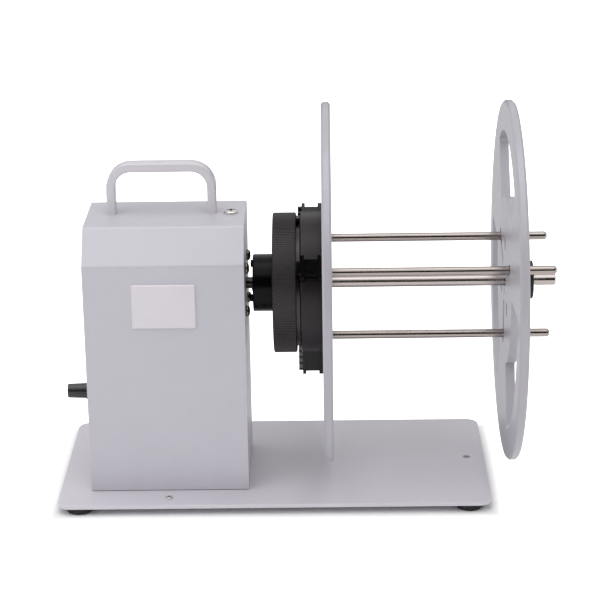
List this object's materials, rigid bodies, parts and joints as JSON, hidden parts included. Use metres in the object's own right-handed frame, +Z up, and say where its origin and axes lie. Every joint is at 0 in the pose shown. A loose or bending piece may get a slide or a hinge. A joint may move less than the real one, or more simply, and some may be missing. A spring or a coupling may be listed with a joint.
{
  "type": "label roll rewinder",
  "caption": "Bench-top motor-driven rewinder for label rolls: housing with carry handle, scroll chuck moving the core rods, and two windowed flanges on a shaft.",
  "frame": {"origin": "middle of the footprint of the whole object on the floor", "axes": "+X along the spindle away from the housing, +Y to the back, +Z up; the front with the bare badge faces -Y"},
  "size_m": [0.347, 0.25, 0.271],
  "materials": {
    "plate_paint": "satin grey powder paint",
    "foot_rubber": "matte black",
    "dark_screw": "dark oxide",
    "cover_paint": "satin grey powder paint",
    "side_paint": "satin grey powder paint",
    "bright_screw": "plated",
    "badge_white": "silver, bare",
    "handle_paint": "satin light grey",
    "gearbox_cast": "cast",
    "motor_can": "plated can",
    "pot_metal": "plated",
    "knob_plastic": "glossy black",
    "switch_plastic": "matte black",
    "rocker_plastic": "glossy black",
    "inlet_plastic": "matte black",
    "post_brass": "plain",
    "board_green": "solder mask",
    "component_dark": "matte",
    "steel_shaft": "ground",
    "hub_black": "black anodised",
    "black_screw": "black oxide",
    "ring_black": "knurled, charcoal anodised",
    "scroll_steel": "turned, blackened",
    "chuck_black": "charcoal anodised",
    "flange_paint": "satin silver grey",
    "knob_black": "fluted black",
    "jaw_black": "charcoal anodised",
    "rod_steel": "polished"
  },
  "bodies": {
    "stand": {"base_plate": "plate_paint", "rubber_feet": "foot_rubber", "base_screws": "dark_screw", "housing_cover": "cover_paint", "right_side_plate": "side_paint", "left_side_plate": "side_paint", "plate_screws": "bright_screw", "back_screws": "dark_screw", "cover_screw": "bright_screw", "badge_plate": "badge_white", "carry_handle": "handle_paint", "handle_screws": "bright_screw", "gearbox": "gearbox_cast", "drive_motor": "motor_can", "motor_screws": "dark_screw", "speed_pot": "pot_metal", "pot_nut": "pot_metal", "switch_body": "switch_plastic", "power_inlet": "inlet_plastic", "board_posts": "post_brass", "control_board": "board_green", "board_components": "component_dark"},
    "spindle": {"drive_shaft": "steel_shaft", "drive_hub": "hub_black", "hub_screws": "black_screw", "hub_grub_screw": "black_screw", "chuck_body": "chuck_black", "centre_shaft": "steel_shaft", "inner_flange": "flange_paint", "flange_screws": "bright_screw"},
    "scroll": {"grip_ring": "ring_black", "scroll_plate": "scroll_steel"},
    "jaw_1_set": {"jaw_1": "jaw_black", "core_rod_1": "rod_steel"},
    "jaw_2_set": {"jaw_2": "jaw_black", "core_rod_2": "rod_steel"},
    "jaw_3_set": {"jaw_3": "jaw_black", "core_rod_3": "rod_steel"},
    "outer_flange_set": {"outer_flange": "flange_paint", "flange_hub": "hub_black"},
    "lock": {"lock_knob": "knob_black"},
    "speed_knob_set": {"speed_knob": "knob_plastic", "pot_shaft": "pot_metal"},
    "rocker": {"switch_rocker": "rocker_plastic"}
  },
  "joints": [
    {"name": "spindle_turn", "type": "hinge", "parent": "stand", "child": "spindle", "pos_m": [-0.03675, 0, 0.146], "axis": [1, 0, 0], "continuous": true},
    {"name": "scroll_turn", "type": "hinge", "parent": "spindle", "child": "scroll", "pos_m": [-0.02255, 0, 0.146], "axis": [1, 0, 0], "range_deg": [-273.9, 1682.6]},
    {"name": "jaw_1_slide", "type": "slide", "parent": "spindle", "child": "jaw_1_set", "axis": [0, 0.8387, 0.5446], "range_m": [-0.02155, 0.00355]},
    {"name": "jaw_2_slide", "type": "slide", "parent": "spindle", "child": "jaw_2_set", "axis": [0, -0.891, 0.454], "range_m": [-0.02155, 0.00355]},
    {"name": "jaw_3_slide", "type": "slide", "parent": "spindle", "child": "jaw_3_set", "axis": [0, 0.0523, -0.9986], "range_m": [-0.02155, 0.00355]},
    {"name": "outer_flange_slide", "type": "slide", "parent": "spindle", "child": "outer_flange_set", "axis": [1, 0, 0], "range_m": [-0.11, 0.012]},
    {"name": "lock_knob_turn", "type": "hinge", "parent": "outer_flange_set", "child": "lock", "pos_m": [0.1465, 0, 0.146], "axis": [1, 0, 0], "range_deg": [-120, 0]},
    {"name": "speed_knob_turn", "type": "hinge", "parent": "stand", "child": "speed_knob_set", "pos_m": [-0.1515, 0, 0.067], "axis": [-1, 0, 0], "range_deg": [0, 280]},
    {"name": "rocker_tilt", "type": "hinge", "parent": "stand", "child": "rocker", "pos_m": [-0.1482, 0, 0.0995], "axis": [0, 1, 0], "range_deg": [-8, 8]}
  ],
  "couplings": [
    {"joint": "jaw_1_slide", "follows": "scroll_turn", "m_per_rad": -0.00073211},
    {"joint": "jaw_2_slide", "follows": "scroll_turn", "m_per_rad": -0.00073211},
    {"joint": "jaw_3_slide", "follows": "scroll_turn", "m_per_rad": -0.00073211}
  ]
}
